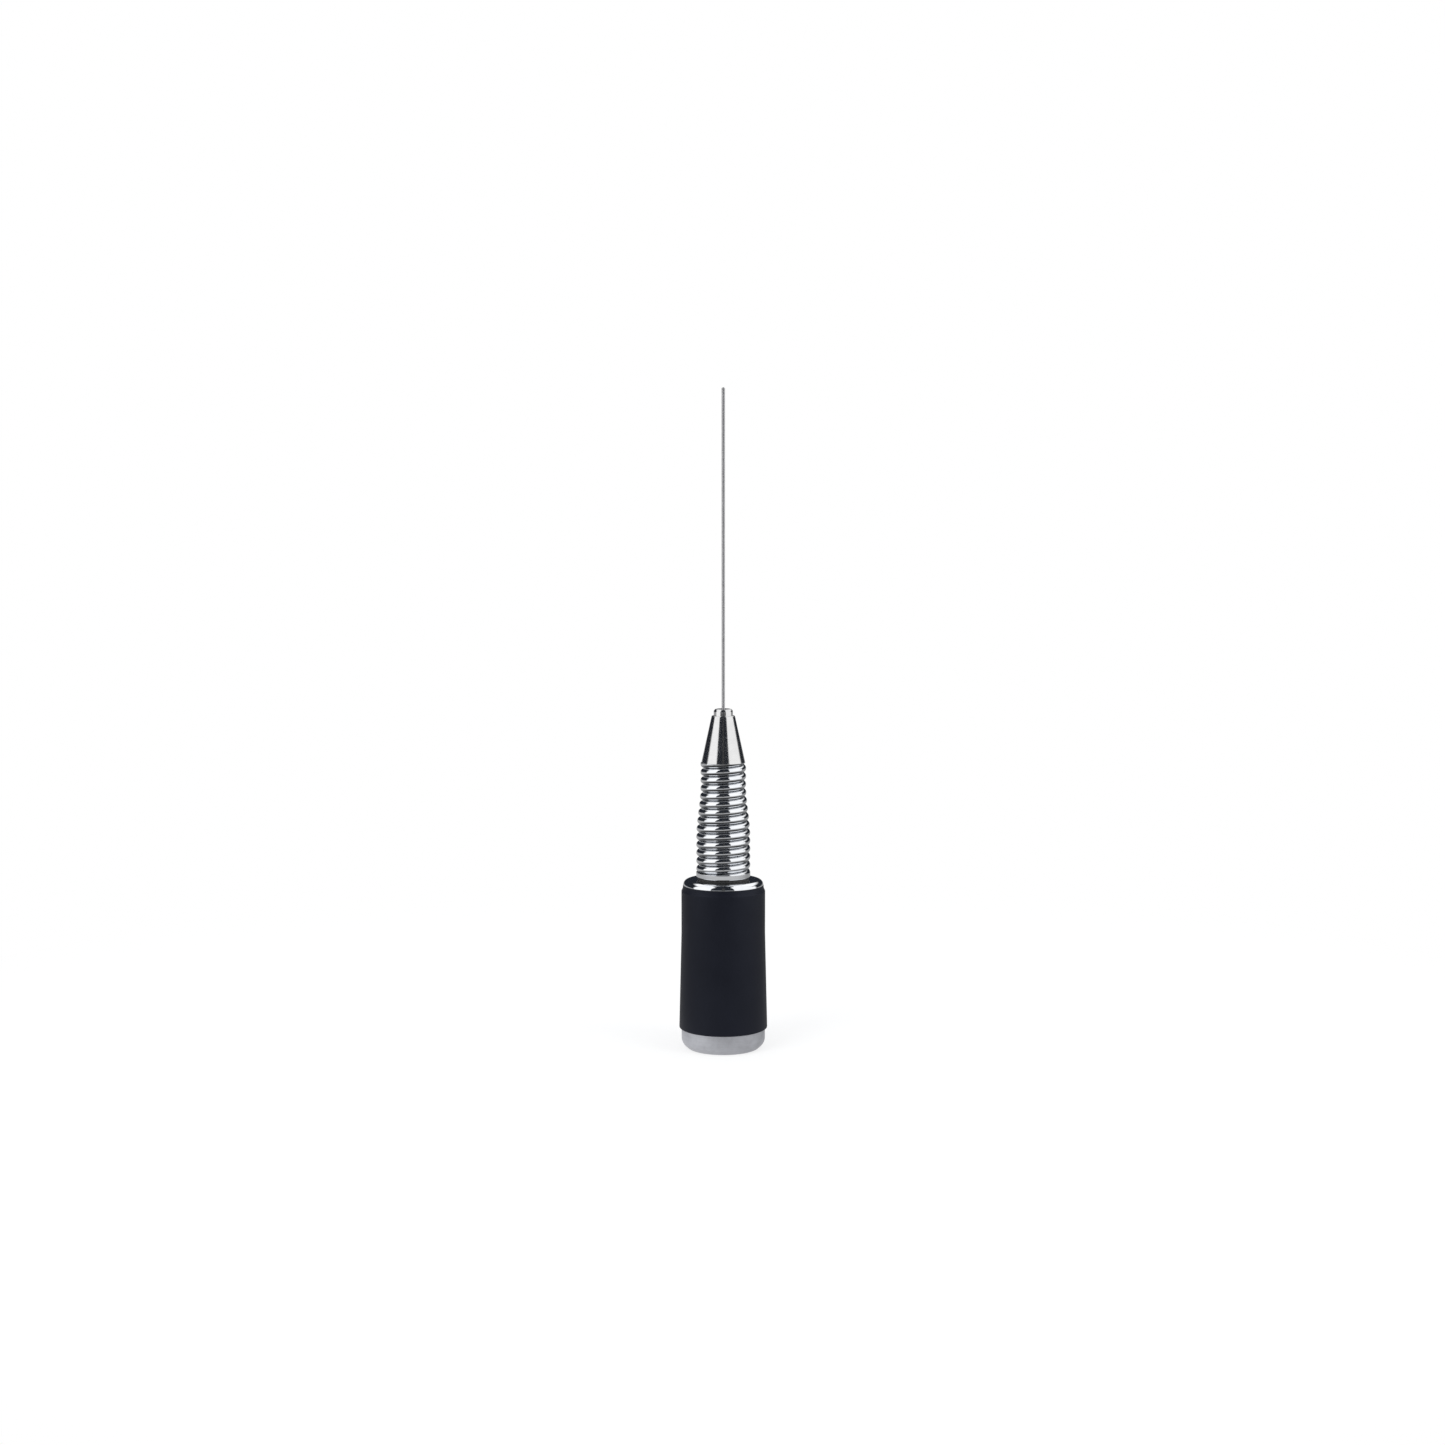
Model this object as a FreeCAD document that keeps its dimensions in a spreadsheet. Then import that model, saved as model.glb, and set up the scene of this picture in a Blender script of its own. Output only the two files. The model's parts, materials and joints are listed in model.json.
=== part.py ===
import FreeCAD, Part

# A base-loaded, omnidirectional mobile whip antenna, as a parametric document.
#
# From the bottom up: a threaded metal base ring with a spring-loaded centre contact, a black moulded
# sleeve over the loading coil, a metal cap with a bevelled shoulder, a tapered close-wound shock spring
# with a shunt braid inside it, and a cone that clamps the steel whip with two set screws.
#
# Frame: +Z up along the antenna's axis, origin at the centre of the base ring's underside. Millimetres.

import math
import os

import Sketcher
from FreeCAD import Placement, Rotation, Vector

# ---------------------------------------------------------------- driving dimensions

# Every name is the alias of one cell. Names that end in _z are heights above the underside.
DIMENSIONS = {
    # base ring and its thread, 1 1/8 inch across
    "mount_thread_radius": 14.2875,
    "thread_lead_in": 0.4,
    "thread_top_z": 5.2,
    "thread_relief_radius": 14.7,
    "pocket_floor_z": 6.6,
    "ring_foot_radius": 15.4,
    "ring_waist_radius": 17.3,
    "ring_waist_z": 1.7,
    "ring_radius": 18.0,
    "ring_skirt_z": 3.4,
    "ring_rounding": 4.0,
    "ring_top_z": 8.6,
    "web_bottom_z": 8.6,
    "web_top_z": 10.6,
    "web_bore_radius": 11.5,
    "ring_spigot_top_z": 16.0,
    "ring_spigot_bore_radius": 13.2,
    # black sleeve
    "sleeve_bore_radius": 16.0,
    "sleeve_bottom_radius": 19.0,
    "sleeve_flare_z": 50.0,
    "sleeve_top_radius": 18.0,
    "sleeve_bevel_z": 68.1,
    "sleeve_shoulder_radius": 17.4,
    "sleeve_shoulder_z": 69.4,
    "sleeve_rim_radius": 17.3,
    "sleeve_top_z": 70.7,
    "sleeve_bottom_rounding": 0.5,
    "sleeve_bevel_rounding": 0.5,
    # metal cap
    "cap_spigot_bottom_z": 62.0,
    "cap_hollow_radius": 12.5,
    "cap_hollow_top_z": 66.0,
    "cap_boss_radius": 7.5,
    "cap_boss_bottom_z": 61.4,
    "cap_rim_radius": 17.25,
    "cap_shoulder_radius": 16.95,
    "cap_top_z": 73.0,
    "cap_rounding": 2.2,
    # seals
    "seal_cord_radius": 0.55,
    "seal_groove_depth": 1.05,
    "seal_groove_height": 1.65,
    "lower_seal_z": 12.4,
    "upper_seal_z": 64.4,
    "gasket_inner_radius": 12.2,
    "gasket_thickness": 0.9,
    # centre contact
    "contact_stem_radius": 1.2,
    "contact_tip_rounding": 0.7,
    "contact_tip_z": 5.3,
    "contact_collar_radius": 1.8,
    "contact_collar_height": 1.5,
    "contact_pilot_radius": 0.8,
    "contact_pilot_height": 1.2,
    "barrel_radius": 2.8,
    "barrel_bottom_z": 6.9,
    "barrel_lip_top_z": 8.2,
    "barrel_bore_top_z": 15.6,
    "barrel_top_z": 16.6,
    "barrel_flange_radius": 3.8,
    "barrel_flange_thickness": 0.6,
    "contact_wire_radius": 0.18,
    "contact_coil_radius": 1.35,
    "contact_spring_pitch": 0.9,
    # insulator and its screws
    "insulator_flange_radius": 13.15,
    "screw_circle_radius": 8.0,
    "screw_count": 3,
    "screw_shank_radius": 1.05,
    "screw_head_radius": 2.0,
    "screw_head_height": 1.3,
    "screw_head_rounding": 0.45,
    "screw_tip_z": 17.8,
    "screw_slot_length": 6.0,
    "screw_slot_width": 0.5,
    "screw_slot_depth": 0.6,
    # coil form, insert and stud
    "form_bore_radius": 6.0,
    "form_radius": 10.0,
    "form_lower_flange_top_z": 13.6,
    "form_upper_flange_z": 55.0,
    "form_top_z": 58.0,
    "insert_bottom_z": 46.0,
    "insert_flange_radius": 8.0,
    "insert_flange_thickness": 0.8,
    "stud_hole_radius": 3.97,
    "stud_bottom_z": 50.0,
    "stud_top_z": 78.6,
    "stud_chamfer": 0.8,
    # loading coil and its leads
    "coil_wire_radius": 0.8,
    "coil_pitch": 3.0,
    "coil_turns": 11.0,
    "coil_bottom_z": 18.0,
    "tap_turn": 2.0,
    "lead_hole_radius": 1.0,
    "lead_notch_length": 4.0,
    "lead_notch_width": 2.0,
    "ground_lead_radius_out": 12.3,
    "ground_bend_bottom_z": 14.6,
    "ground_bend_top_z": 16.2,
    "top_lead_inner_x": 6.4,
    # shock spring and the plug it stands on
    "spring_wire_radius": 1.7,
    "spring_pitch": 3.47,
    "spring_lower_radius": 11.6,
    "spring_upper_radius": 9.75,
    "spring_bottom_z": 76.3,
    "spring_top_z": 123.5,
    "spring_taper_bottom_z": 91.5,
    "spring_taper_top_z": 114.0,
    "spring_start_angle": 195.0,
    "spring_ground_overrun": 1.87,
    "spigot_height": 3.9,
    "plug_neck_radius": 9.0,
    "plug_collar_bottom_z": 74.2,
    "plug_collar_rounding": 0.3,
    "plug_socket_top_z": 79.0,
    "plug_washer_radius": 11.0,
    # shunt braid
    "ferrule_radius": 3.0,
    "ferrule_length": 5.0,
    "ferrule_wall": 1.0,
    "braid_radius": 1.9,
    # cone, whip and set screws
    "cone_base_radius": 9.4,
    "cone_top_z": 143.6,
    "cone_shoulder_radius": 4.95,
    "cone_shoulder_rounding": 0.45,
    "nib_radius": 4.1,
    "nib_top_z": 146.5,
    "nib_rounding": 1.3,
    "whip_radius": 0.7,
    "whip_bottom_z": 121.0,
    "whip_top_z": 282.2,
    "whip_tip_rounding": 0.5,
    "set_screw_radius": 1.5,
    "set_screw_length": 4.5,
    "set_screw_point_radius": 1.0,
    "set_screw_socket_width": 1.5,
    "set_screw_socket_depth": 1.8,
    "lower_set_screw_z": 134.5,
    "upper_set_screw_z": 139.5,
    # gaps that let one piece go inside another
    "running_gap": 0.05,
    "assembly_gap": 0.05,
}

SHEET = "Dimensions"

# How near two measures must be to be the same place, and the least volume a feature must change.
SAME_PLACE = 1e-4
LEAST_CHANGE = 1e-6

POINTS_PER_TURN = 24
HEXAGON_CORNER_PER_WIDTH = 0.57735


class Size:
    """A length with its number and the sheet expression that drives it."""

    def __init__(self, value, text):
        self.value = value
        self.text = text

    def _joined(self, other, sign, value):
        return Size(value, f"({self.text} {sign} {as_size(other).text})")

    def __add__(self, other):
        return self._joined(other, "+", self.value + as_size(other).value)

    def __sub__(self, other):
        return self._joined(other, "-", self.value - as_size(other).value)

    def __mul__(self, other):
        return self._joined(other, "*", self.value * as_size(other).value)


def as_size(number):
    return number if isinstance(number, Size) else Size(number, repr(number))


def make_sheet(doc):
    """Writes the driving dimensions into a spreadsheet, one aliased cell each."""
    sheet = doc.addObject("Spreadsheet::Sheet", SHEET)
    for row, (alias, value) in enumerate(DIMENSIONS.items(), start=1):
        sheet.set(f"A{row}", alias.replace("_", " "))
        sheet.set(f"B{row}", str(value))
        sheet.setAlias(f"B{row}", alias)
    doc.recompute()
    return sheet


class Sizes:
    """Sizes by alias, as attributes, with their numbers read from the sheet."""

    def __init__(self, sheet):
        for alias in DIMENSIONS:
            setattr(self, alias, Size(float(sheet.get(alias)), f"{SHEET}.{alias}"))


doc = FreeCAD.newDocument("WhipAntenna")
s = Sizes(make_sheet(doc))
ZERO = as_size(0.0)
parts = []

# Sizes that several pieces share.
spring_lower_mean = s.spring_lower_radius - s.spring_wire_radius
spring_upper_mean = s.spring_upper_radius - s.spring_wire_radius
plug_spigot_radius = spring_lower_mean - s.spring_wire_radius - s.assembly_gap
cone_spigot_radius = spring_upper_mean - s.spring_wire_radius - s.assembly_gap
plug_top_z = s.spring_bottom_z + s.spigot_height
cone_spigot_bottom_z = s.spring_top_z - s.spigot_height
whip_hole_radius = s.whip_radius + s.running_gap
coil_mean_radius = s.form_radius + s.coil_wire_radius + s.assembly_gap
coil_top_z = s.coil_bottom_z + s.coil_pitch * s.coil_turns
tap_z = s.coil_bottom_z + s.coil_pitch * s.tap_turn
lead_offset = s.coil_wire_radius + s.assembly_gap
wide_gap = s.assembly_gap * 2

# ---------------------------------------------------------------- helpers


def bind(thing, **sizes):
    """Sets each property of an object to the expression of a size."""
    for name, size in sizes.items():
        thing.setExpression(name, as_size(size).text)
    return thing


def keep(thing, label):
    """Marks an object as a finished sub-part. The label names its file."""
    thing.Label = label
    parts.append(thing)
    return thing


def origin_plane(body, role):
    return next(f for f in body.Origin.OriginFeatures if f.Role == role)


def draw_outline(sketch, points, closed=True):
    """Draws straight lines through the points, each held by its two distances from the origin."""
    count = len(points)
    lines = count if closed else count - 1
    for i in range(lines):
        start, end = points[i], points[(i + 1) % count]
        sketch.addGeometry(
            Part.LineSegment(
                Vector(start[0].value, start[1].value, 0),
                Vector(end[0].value, end[1].value, 0),
            ),
            False,
        )
    for i in range(lines if closed else lines - 1):
        sketch.addConstraint(Sketcher.Constraint("Coincident", i, 2, (i + 1) % lines, 1))
    for i, point in enumerate(points):
        corner = (i, 1) if i < lines else (i - 1, 2)
        for kind, size in zip(("DistanceX", "DistanceY"), point):
            index = sketch.addConstraint(Sketcher.Constraint(kind, -1, 1, *corner, size.value))
            sketch.setExpression(f"Constraints[{index}]", size.text)


def turned_body(name, outline):
    """A body turned about Z from a closed outline of (radius, height) corners."""
    body = doc.addObject("PartDesign::Body", name)
    sketch = body.newObject("Sketcher::SketchObject", name + "_outline")
    sketch.AttachmentSupport = (origin_plane(body, "XZ_Plane"), "")
    sketch.MapMode = "FlatFace"
    draw_outline(sketch, [(as_size(r), as_size(z)) for r, z in outline])
    turn = body.newObject("PartDesign::Revolution", name + "_turned")
    turn.Profile = sketch
    turn.ReferenceAxis = (sketch, ["V_Axis"])
    turn.Angle = 360.0
    doc.recompute()
    return body


def rings_at(shape, corners):
    """Names of the circular edges at the given (radius, height) corners."""
    names = []
    for number, edge in enumerate(shape.Edges, start=1):
        curve = edge.Curve
        if not isinstance(curve, Part.Circle):
            continue
        for radius, height in corners:
            near = abs(curve.Radius - radius.value) < SAME_PLACE
            if near and abs(curve.Center.z - height.value) < SAME_PLACE:
                names.append(f"Edge{number}")
    return names


def dress(body, kind, corners, amount):
    """Fillets or chamfers the circular edges at the given corners of a turned body."""
    base = body.Tip
    feature = body.newObject("PartDesign::" + kind, f"{body.Name}_{kind.lower()}")
    feature.Base = (base, rings_at(base.Shape, corners))
    bind(feature, **{"Radius" if kind == "Fillet" else "Size": amount})
    doc.recompute()
    if abs(feature.Shape.Volume - base.Shape.Volume) < LEAST_CHANGE:
        raise RuntimeError(f"{feature.Name} changed nothing")
    return body


def cylinder(name, radius, length, base=(0, 0, 0), along=Vector(0, 0, 1)):
    """A cylinder from a point along a direction, with its sizes and place bound to the sheet."""
    rod = doc.addObject("Part::Cylinder", name)
    bind(rod, Radius=radius, Height=length)
    rod.Placement = Placement(Vector(0, 0, 0), Rotation(Vector(0, 0, 1), along))
    for axis, size in zip("xyz", base):
        rod.setExpression(f"Placement.Base.{axis}", as_size(size).text)
    return rod


def cut(name, base, tools):
    """The base with every tool taken away. It fails if the tools remove nothing."""
    tool = tools[0]
    if len(tools) > 1:
        tool = doc.addObject("Part::MultiFuse", name + "_tools")
        tool.Shapes = tools
    result = doc.addObject("Part::Cut", name + "_cut")
    result.Base = base
    result.Tool = tool
    doc.recompute()
    if base.Shape.Volume - result.Shape.Volume < LEAST_CHANGE:
        raise RuntimeError(f"{name} lost nothing to its tools")
    return result


def round_wire(name, spine, radius, start, normal, transition="Transformed"):
    """A wire of round section swept along a spine."""
    section = doc.addObject("Part::Circle", name + "_section")
    bind(section, Radius=radius)
    section.Placement = Placement(Vector(0, 0, 0), Rotation(Vector(0, 0, 1), normal))
    for axis, size in zip("xyz", start):
        section.setExpression(f"Placement.Base.{axis}", as_size(size).text)
    doc.recompute()
    sweep = doc.addObject("Part::Sweep", name)
    sweep.Sections = [section]
    sweep.Spine = (spine, [f"Edge{n + 1}" for n in range(len(spine.Shape.Edges))])
    sweep.Solid = True
    sweep.Frenet = True
    sweep.Transition = transition
    doc.recompute()
    return sweep


def coiled_wire(name, mean_radius, pitch, height, wire_radius, bottom_z):
    """A plain helical winding about Z that starts on the +X side."""
    helix = doc.addObject("Part::Helix", name + "_path")
    bind(helix, Radius=mean_radius, Pitch=pitch, Height=height)
    coil = round_wire(name, helix, wire_radius, (mean_radius, ZERO, ZERO), Vector(0, 1, 0))
    coil.setExpression("Placement.Base.z", bottom_z.text)
    return coil


def bent_wire(name, path, wire_radius):
    """A lead with rounded corners along a path of (x, z) points in the XZ plane. It starts vertically."""
    sketch = doc.addObject("Sketcher::SketchObject", name + "_path")
    sketch.Placement = Placement(Vector(0, 0, 0), Rotation(Vector(1, 0, 0), 90))
    draw_outline(sketch, [(as_size(x), as_size(z)) for x, z in path], closed=False)
    doc.recompute()
    start = (path[0][0], ZERO, path[0][1])
    return round_wire(name, sketch, wire_radius, start, Vector(0, 0, 1), "Round corner")


def turned_places(count, radius):
    """Evenly spaced (x, y) places on a circle, the first one on the +Y side."""
    for i in range(int(count.value)):
        angle = math.radians(90 + 360 * i / count.value)
        yield radius * round(math.cos(angle), 12), radius * round(math.sin(angle), 12)


def seal_groove(outer_radius, seal_z):
    """Corners of a square groove for a round seal, from the bottom corner up."""
    floor = outer_radius - s.seal_groove_depth
    low = seal_z - s.seal_groove_height * 0.5
    high = seal_z + s.seal_groove_height * 0.5
    return [(outer_radius, low), (floor, low), (floor, high), (outer_radius, high)]


# ---------------------------------------------------------------- base: ring, gasket, contact, insulator

spigot_radius = s.sleeve_bore_radius - s.assembly_gap


def base_ring():
    """Threaded foot ring with a rounded skirt, a web inside and a spigot that goes up into the sleeve."""
    ring = turned_body(
        "base_ring",
        [
            (s.mount_thread_radius, s.thread_lead_in),
            (s.mount_thread_radius + s.thread_lead_in, ZERO),
            (s.ring_foot_radius, ZERO),
            (s.ring_waist_radius, s.ring_waist_z),
            (s.ring_radius, s.ring_skirt_z),
            (s.ring_radius, s.ring_top_z),
            (spigot_radius, s.ring_top_z),
            *seal_groove(spigot_radius, s.lower_seal_z),
            (spigot_radius, s.ring_spigot_top_z),
            (s.ring_spigot_bore_radius, s.ring_spigot_top_z),
            (s.ring_spigot_bore_radius, s.web_top_z),
            (s.web_bore_radius, s.web_top_z),
            (s.web_bore_radius, s.web_bottom_z),
            (s.insulator_flange_radius + s.assembly_gap, s.web_bottom_z),
            (s.insulator_flange_radius + s.assembly_gap, s.pocket_floor_z),
            (s.thread_relief_radius, s.pocket_floor_z),
            (s.thread_relief_radius, s.thread_top_z),
            (s.mount_thread_radius, s.thread_top_z),
        ],
    )
    bends = [(s.ring_waist_radius, s.ring_waist_z), (s.ring_radius, s.ring_skirt_z)]
    dress(ring, "Fillet", bends, s.ring_rounding)
    return keep(ring, "base_ring")


def mount_gasket():
    """Flat ring under the web that seals on the rim of the vehicle's mount."""
    outer = s.thread_relief_radius - s.assembly_gap
    bottom = s.pocket_floor_z - s.gasket_thickness
    outline = [
        (s.gasket_inner_radius, bottom),
        (outer, bottom),
        (outer, s.pocket_floor_z),
        (s.gasket_inner_radius, s.pocket_floor_z),
    ]
    return keep(turned_body("mount_gasket", outline), "mount_gasket")


def contact_insulator():
    """Disc in the ring's web that carries the centre contact, with counterbored screw holes."""
    boss = s.web_bore_radius - s.assembly_gap
    hole = s.barrel_radius + s.assembly_gap
    disc = turned_body(
        "insulator_disc",
        [
            (hole, s.pocket_floor_z),
            (s.insulator_flange_radius, s.pocket_floor_z),
            (s.insulator_flange_radius, s.web_bottom_z),
            (boss, s.web_bottom_z),
            (boss, s.web_top_z),
            (hole, s.web_top_z),
        ],
    )
    tools = []
    for x, y in turned_places(s.screw_count, s.screw_circle_radius):
        shank = s.screw_shank_radius + s.assembly_gap
        height = s.web_top_z - s.pocket_floor_z
        tools.append(cylinder("clearance_hole", shank, height, (x, y, s.pocket_floor_z)))
        head = s.screw_head_radius + wide_gap
        depth = s.screw_head_height + wide_gap
        tools.append(cylinder("counterbore", head, depth, (x, y, s.pocket_floor_z)))
    return keep(cut("insulator", disc, tools), "contact_insulator")


def insulator_screw(number, x, y):
    """One slotted self-tapping screw, with its head facing down."""
    head_z = s.pocket_floor_z + wide_gap
    seat_z = head_z + s.screw_head_height
    body = turned_body(
        f"screw_{number}",
        [
            (ZERO, head_z),
            (s.screw_head_radius, head_z),
            (s.screw_head_radius, seat_z),
            (s.screw_shank_radius, seat_z),
            (s.screw_shank_radius, s.screw_tip_z - s.screw_shank_radius),
            (ZERO, s.screw_tip_z),
        ],
    )
    dress(body, "Fillet", [(s.screw_head_radius, head_z)], s.screw_head_rounding)
    slot = doc.addObject("Part::Box", f"screw_slot_{number}")
    bind(slot, Length=s.screw_slot_length, Width=s.screw_slot_width, Height=s.screw_slot_depth)
    slot.setExpression("Placement.Base.x", (s.screw_slot_length * -0.5).text)
    slot.setExpression("Placement.Base.y", (s.screw_slot_width * -0.5).text)
    slot.setExpression("Placement.Base.z", head_z.text)
    screw = cut(f"screw_{number}", body, [slot])
    for axis, size in zip("xy", (x, y)):
        screw.setExpression(f"Placement.Base.{axis}", size.text)
    return screw


def insulator_screws():
    """The screws that clamp the ring's web between the insulator and the coil form."""
    group = doc.addObject("Part::Compound", "insulator_screw_group")
    places = turned_places(s.screw_count, s.screw_circle_radius)
    group.Links = [insulator_screw(i, x, y) for i, (x, y) in enumerate(places)]
    doc.recompute()
    return keep(group, "insulator_screws")


def contact_barrel():
    """Brass tube, closed at the top, that guides the plunger and holds its spring."""
    bore = s.contact_collar_radius + s.running_gap
    lip = s.contact_stem_radius + s.running_gap
    flange_top = s.web_top_z + s.barrel_flange_thickness
    outline = [
        (lip, s.barrel_bottom_z),
        (s.barrel_radius, s.barrel_bottom_z),
        (s.barrel_radius, s.web_top_z),
        (s.barrel_flange_radius, s.web_top_z),
        (s.barrel_flange_radius, flange_top),
        (s.barrel_radius, flange_top),
        (s.barrel_radius, s.barrel_top_z),
        (ZERO, s.barrel_top_z),
        (ZERO, s.barrel_bore_top_z),
        (bore, s.barrel_bore_top_z),
        (bore, s.barrel_lip_top_z),
        (lip, s.barrel_lip_top_z),
    ]
    return keep(turned_body("contact_barrel", outline), "contact_barrel")


collar_top_z = s.barrel_lip_top_z + s.contact_collar_height


def contact_plunger():
    """The moving centre contact: a rounded stem, a collar that the spring pushes on, and a pilot."""
    pilot_top = collar_top_z + s.contact_pilot_height
    plunger = turned_body(
        "contact_plunger",
        [
            (ZERO, s.contact_tip_z),
            (s.contact_stem_radius, s.contact_tip_z),
            (s.contact_stem_radius, s.barrel_lip_top_z),
            (s.contact_collar_radius, s.barrel_lip_top_z),
            (s.contact_collar_radius, collar_top_z),
            (s.contact_pilot_radius, collar_top_z),
            (s.contact_pilot_radius, pilot_top),
            (ZERO, pilot_top),
        ],
    )
    tip = (s.contact_stem_radius, s.contact_tip_z)
    return keep(dress(plunger, "Fillet", [tip], s.contact_tip_rounding), "contact_plunger")


def contact_spring():
    """Compression spring between the plunger's collar and the top of the barrel."""
    height = s.barrel_bore_top_z - collar_top_z - s.contact_wire_radius * 2 - wide_gap
    bottom = collar_top_z + s.contact_wire_radius + s.assembly_gap
    coil = coiled_wire(
        "contact_spring_coil",
        s.contact_coil_radius,
        s.contact_spring_pitch,
        height,
        s.contact_wire_radius,
        bottom,
    )
    return keep(coil, "contact_spring")


# ---------------------------------------------------------------- coil, leads, sleeve, cap, stud


def coil_form():
    """Moulded bobbin with a flange at each end, drilled for the screws and the three leads."""
    bobbin = turned_body(
        "bobbin",
        [
            (s.form_bore_radius, s.web_top_z),
            (s.ring_spigot_bore_radius - wide_gap, s.web_top_z),
            (s.ring_spigot_bore_radius - wide_gap, s.form_lower_flange_top_z),
            (s.form_radius, s.form_lower_flange_top_z),
            (s.form_radius, s.form_upper_flange_z),
            (s.sleeve_bore_radius - wide_gap, s.form_upper_flange_z),
            (s.sleeve_bore_radius - wide_gap, s.form_top_z),
            (s.form_bore_radius, s.form_top_z),
        ],
    )
    depth = s.screw_tip_z - s.web_top_z + s.assembly_gap
    tools = [
        cylinder("screw_hole", s.screw_shank_radius + s.assembly_gap, depth, (x, y, s.web_top_z))
        for x, y in turned_places(s.screw_count, s.screw_circle_radius)
    ]
    flange = s.form_top_z - s.form_upper_flange_z
    top_lead_base = (coil_mean_radius, lead_offset, s.form_upper_flange_z)
    tools.append(
        cylinder("top_lead_hole", s.lead_hole_radius, flange, top_lead_base)
    )
    tap_base = (ZERO, ZERO, tap_z)
    tools.append(
        cylinder("tap_hole", s.lead_hole_radius, coil_mean_radius, tap_base, Vector(1, 0, 0))
    )
    notch = doc.addObject("Part::Box", "ground_lead_notch")
    height = s.form_lower_flange_top_z - s.web_top_z
    bind(notch, Length=s.lead_notch_length, Width=s.lead_notch_width, Height=height)
    half_width = s.lead_notch_width * 0.5
    notch.setExpression("Placement.Base.x", (s.ground_lead_radius_out - half_width).text)
    notch.setExpression("Placement.Base.y", (lead_offset * -1 - half_width).text)
    notch.setExpression("Placement.Base.z", s.web_top_z.text)
    return keep(cut("coil_form", bobbin, tools + [notch]), "coil_form")


def loading_coil():
    """Copper winding on the form."""
    height = s.coil_pitch * s.coil_turns
    winding = coiled_wire(
        "winding", coil_mean_radius, s.coil_pitch, height, s.coil_wire_radius, s.coil_bottom_z
    )
    return keep(winding, "loading_coil")


def ground_lead():
    """Wire from the bottom end of the winding down to the ring's web."""
    lead = bent_wire(
        "ground_wire",
        [
            (coil_mean_radius, s.coil_bottom_z + s.coil_wire_radius),
            (coil_mean_radius, s.ground_bend_top_z),
            (s.ground_lead_radius_out, s.ground_bend_bottom_z),
            (s.ground_lead_radius_out, s.web_top_z),
        ],
        s.coil_wire_radius,
    )
    lead.setExpression("Placement.Base.y", (lead_offset * -1).text)
    return keep(lead, "ground_lead")


def top_lead():
    """Wire from the top end of the winding, up through the flange and in to the insert's flange."""
    run_z = s.form_top_z + s.insert_flange_thickness + s.coil_wire_radius
    lead = bent_wire(
        "top_wire",
        [
            (coil_mean_radius, coil_top_z - s.coil_wire_radius),
            (coil_mean_radius, run_z),
            (s.top_lead_inner_x, run_z),
        ],
        s.coil_wire_radius,
    )
    lead.setExpression("Placement.Base.y", lead_offset.text)
    return keep(lead, "top_lead")


def feed_lead():
    """Wire from the top of the contact barrel out through the form to its tap on the winding."""
    lead = bent_wire(
        "feed_wire",
        [(ZERO, s.barrel_top_z), (ZERO, tap_z), (s.form_radius, tap_z)],
        s.coil_wire_radius,
    )
    return keep(lead, "feed_lead")


def form_insert():
    """Threaded brass insert in the top of the coil form."""
    outer = s.form_bore_radius - s.assembly_gap
    top = s.form_top_z + s.insert_flange_thickness
    outline = [
        (s.stud_hole_radius, s.insert_bottom_z),
        (outer, s.insert_bottom_z),
        (outer, s.form_top_z),
        (s.insert_flange_radius, s.form_top_z),
        (s.insert_flange_radius, top),
        (s.stud_hole_radius, top),
    ]
    return keep(turned_body("form_insert", outline), "form_insert")


def cap_stud():
    """Threaded stud that ties the insert, the cap and the spring plug together."""
    radius = s.stud_hole_radius - s.running_gap
    ends = [(radius, s.stud_bottom_z), (radius, s.stud_top_z)]
    outline = [(ZERO, s.stud_bottom_z), *ends, (ZERO, s.stud_top_z)]
    return keep(dress(turned_body("cap_stud", outline), "Chamfer", ends, s.stud_chamfer), "cap_stud")


def housing_sleeve():
    """Black moulded tube over the coil, flared towards the bottom and bevelled at the top."""
    sleeve = turned_body(
        "housing_sleeve",
        [
            (s.sleeve_bore_radius, s.ring_top_z),
            (s.sleeve_bottom_radius, s.ring_top_z),
            (s.sleeve_top_radius, s.sleeve_flare_z),
            (s.sleeve_top_radius, s.sleeve_bevel_z),
            (s.sleeve_shoulder_radius, s.sleeve_shoulder_z),
            (s.sleeve_rim_radius, s.sleeve_top_z),
            (s.sleeve_bore_radius, s.sleeve_top_z),
        ],
    )
    dress(sleeve, "Fillet", [(s.sleeve_bottom_radius, s.ring_top_z)], s.sleeve_bottom_rounding)
    dress(sleeve, "Fillet", [(s.sleeve_top_radius, s.sleeve_bevel_z)], s.sleeve_bevel_rounding)
    return keep(sleeve, "housing_sleeve")


def top_cap():
    """Metal cap with a bevelled shoulder, a sealed spigot inside the sleeve and a threaded boss."""
    cap = turned_body(
        "top_cap",
        [
            (s.stud_hole_radius, s.cap_boss_bottom_z),
            (s.cap_boss_radius, s.cap_boss_bottom_z),
            (s.cap_boss_radius, s.cap_hollow_top_z),
            (s.cap_hollow_radius, s.cap_hollow_top_z),
            (s.cap_hollow_radius, s.cap_spigot_bottom_z),
            (spigot_radius, s.cap_spigot_bottom_z),
            *seal_groove(spigot_radius, s.upper_seal_z),
            (spigot_radius, s.sleeve_top_z),
            (s.cap_rim_radius, s.sleeve_top_z),
            (s.cap_shoulder_radius, s.cap_top_z),
            (s.stud_hole_radius, s.cap_top_z),
        ],
    )
    shoulder = (s.cap_shoulder_radius, s.cap_top_z)
    return keep(dress(cap, "Fillet", [shoulder], s.cap_rounding), "top_cap")


def round_seal(label, seal_z):
    """Rubber ring in a spigot's groove, against the sleeve's bore."""
    ring = doc.addObject("Part::Torus", label + "_ring")
    bind(ring, Radius1=s.sleeve_bore_radius - s.seal_cord_radius, Radius2=s.seal_cord_radius)
    ring.setExpression("Placement.Base.z", seal_z.text)
    return keep(ring, label)


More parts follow.
